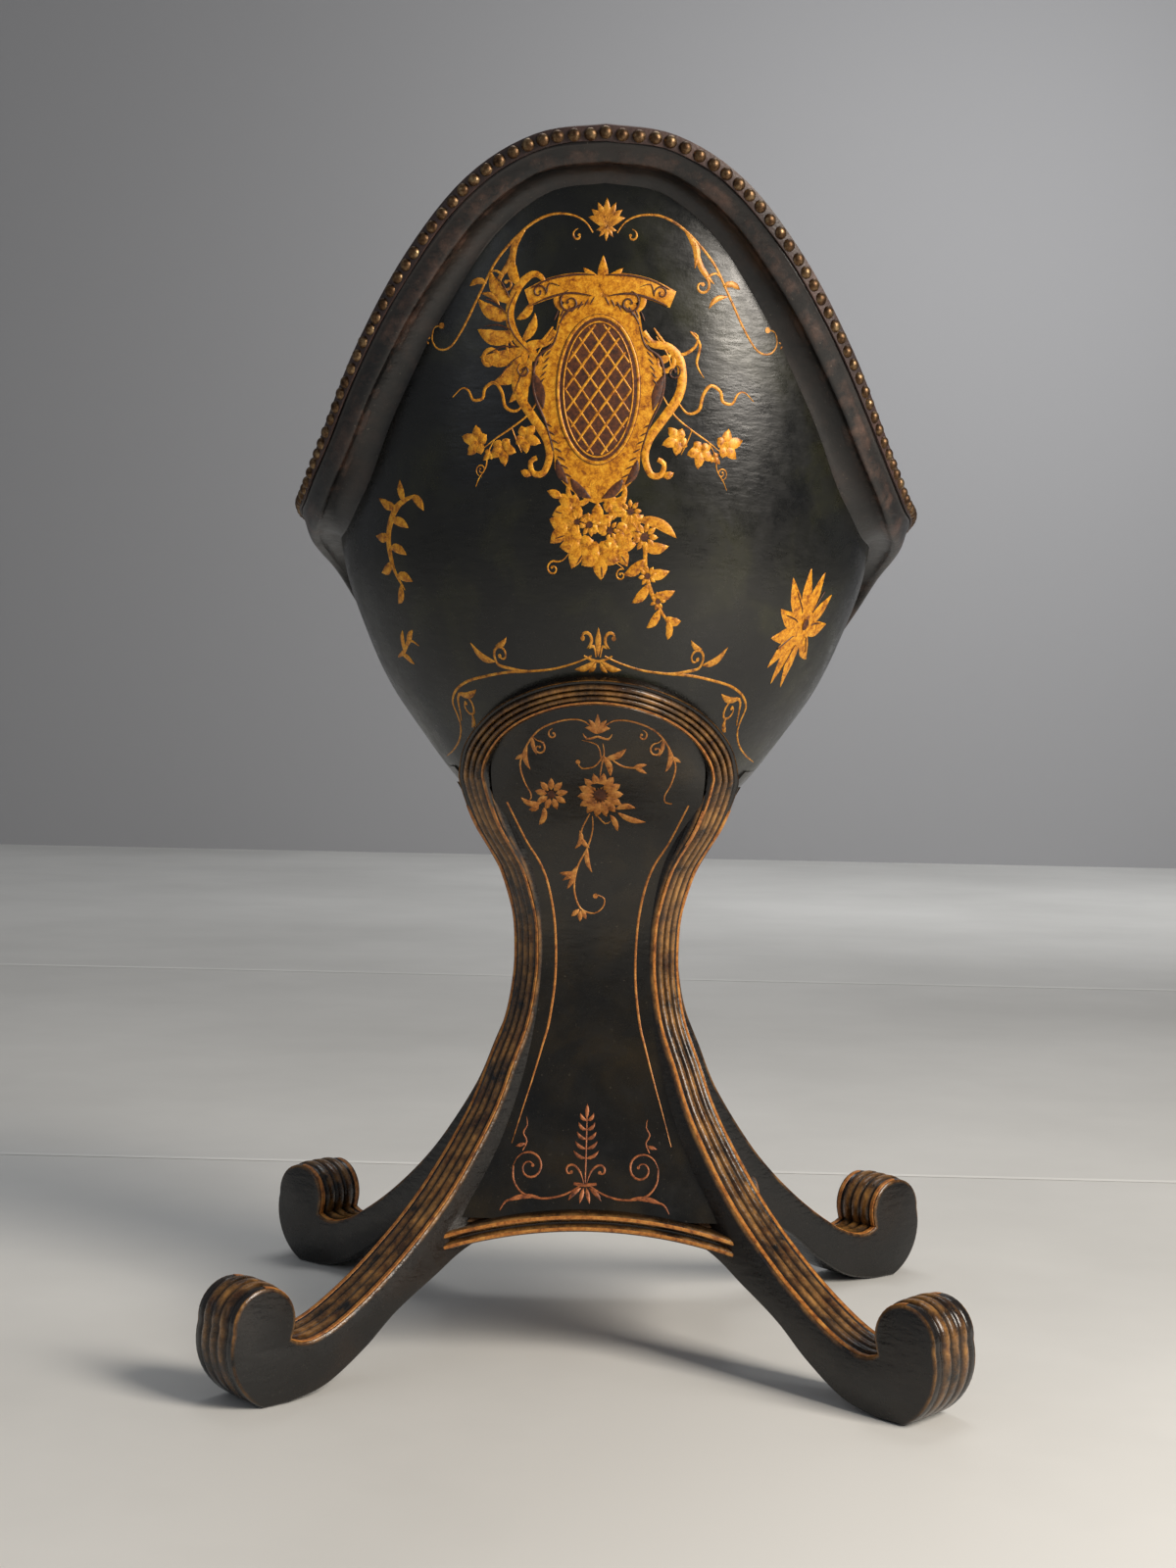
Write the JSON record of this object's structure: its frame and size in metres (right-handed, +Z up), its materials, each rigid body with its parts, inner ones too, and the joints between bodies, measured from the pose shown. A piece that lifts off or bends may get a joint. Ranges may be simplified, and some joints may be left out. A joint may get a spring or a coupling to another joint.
{
  "type": "gondola chair",
  "caption": "Tub armchair with a pointed arched back on a waisted pedestal and four diagonal scroll feet, dark lacquer with gilt ornament and a nailed leather edge",
  "frame": {"origin": "on the floor under the middle of the chair", "axes": "+Z up, the sitter faces +Y, X across the chair"},
  "size_m": [0.5996, 0.5132, 0.9323],
  "materials": {
    "tub_lacquer": "glossy aged lacquer over wood, painted with gilt ornament",
    "rim_lacquer": "worn lacquered moulding",
    "leg_lacquer": "reeded lacquer, rubbed brown on the edges, gilt lines",
    "apron_lacquer": "lacquered moulding with two gilt lines",
    "panel_lacquer": "glossy dark olive lacquer",
    "lining_leather": "smooth aged leather",
    "edge_leather": "aged leather edge",
    "cushion_leather": "smooth aged leather",
    "nail_brass": "aged brass, domed",
    "iron": "forged iron",
    "bare_wood": "bare planed wood"
  },
  "bodies": {
    "root": {"apron_back": "apron_lacquer", "apron_front": "apron_lacquer", "apron_left": "apron_lacquer", "apron_right": "apron_lacquer", "arch_back": "leg_lacquer", "arch_front": "leg_lacquer", "deck_blocks": "bare_wood", "leather_edge_back": "edge_leather", "leather_edge_front": "edge_leather", "leather_edge_left": "edge_leather", "leather_edge_right": "edge_leather", "leg_back_left": "leg_lacquer", "leg_back_right": "leg_lacquer", "leg_dowels": "bare_wood", "leg_front_left": "leg_lacquer", "leg_front_right": "leg_lacquer", "lining_back": "lining_leather", "lining_front": "lining_leather", "lining_left": "lining_leather", "lining_right": "lining_leather", "nails": "nail_brass", "panel_back": "panel_lacquer", "panel_front": "panel_lacquer", "panel_left": "panel_lacquer", "panel_right": "panel_lacquer", "pedestal_core": "bare_wood", "rim_back_centre": "rim_lacquer", "rim_back_left": "rim_lacquer", "rim_back_right": "rim_lacquer", "rim_front": "rim_lacquer", "rim_side_left": "rim_lacquer", "rim_side_right": "rim_lacquer", "rod_nut": "iron", "rod_washers": "iron", "seat_cushion": "cushion_leather", "seat_deck": "bare_wood", "tie_rod": "iron", "tub_floor": "tub_lacquer", "tub_screws": "iron", "tub_stave_back_centre": "tub_lacquer", "tub_stave_back_left": "tub_lacquer", "tub_stave_back_right": "tub_lacquer", "tub_stave_front": "tub_lacquer", "tub_stave_side_left": "tub_lacquer", "tub_stave_side_right": "tub_lacquer"}
  },
  "joints": []
}
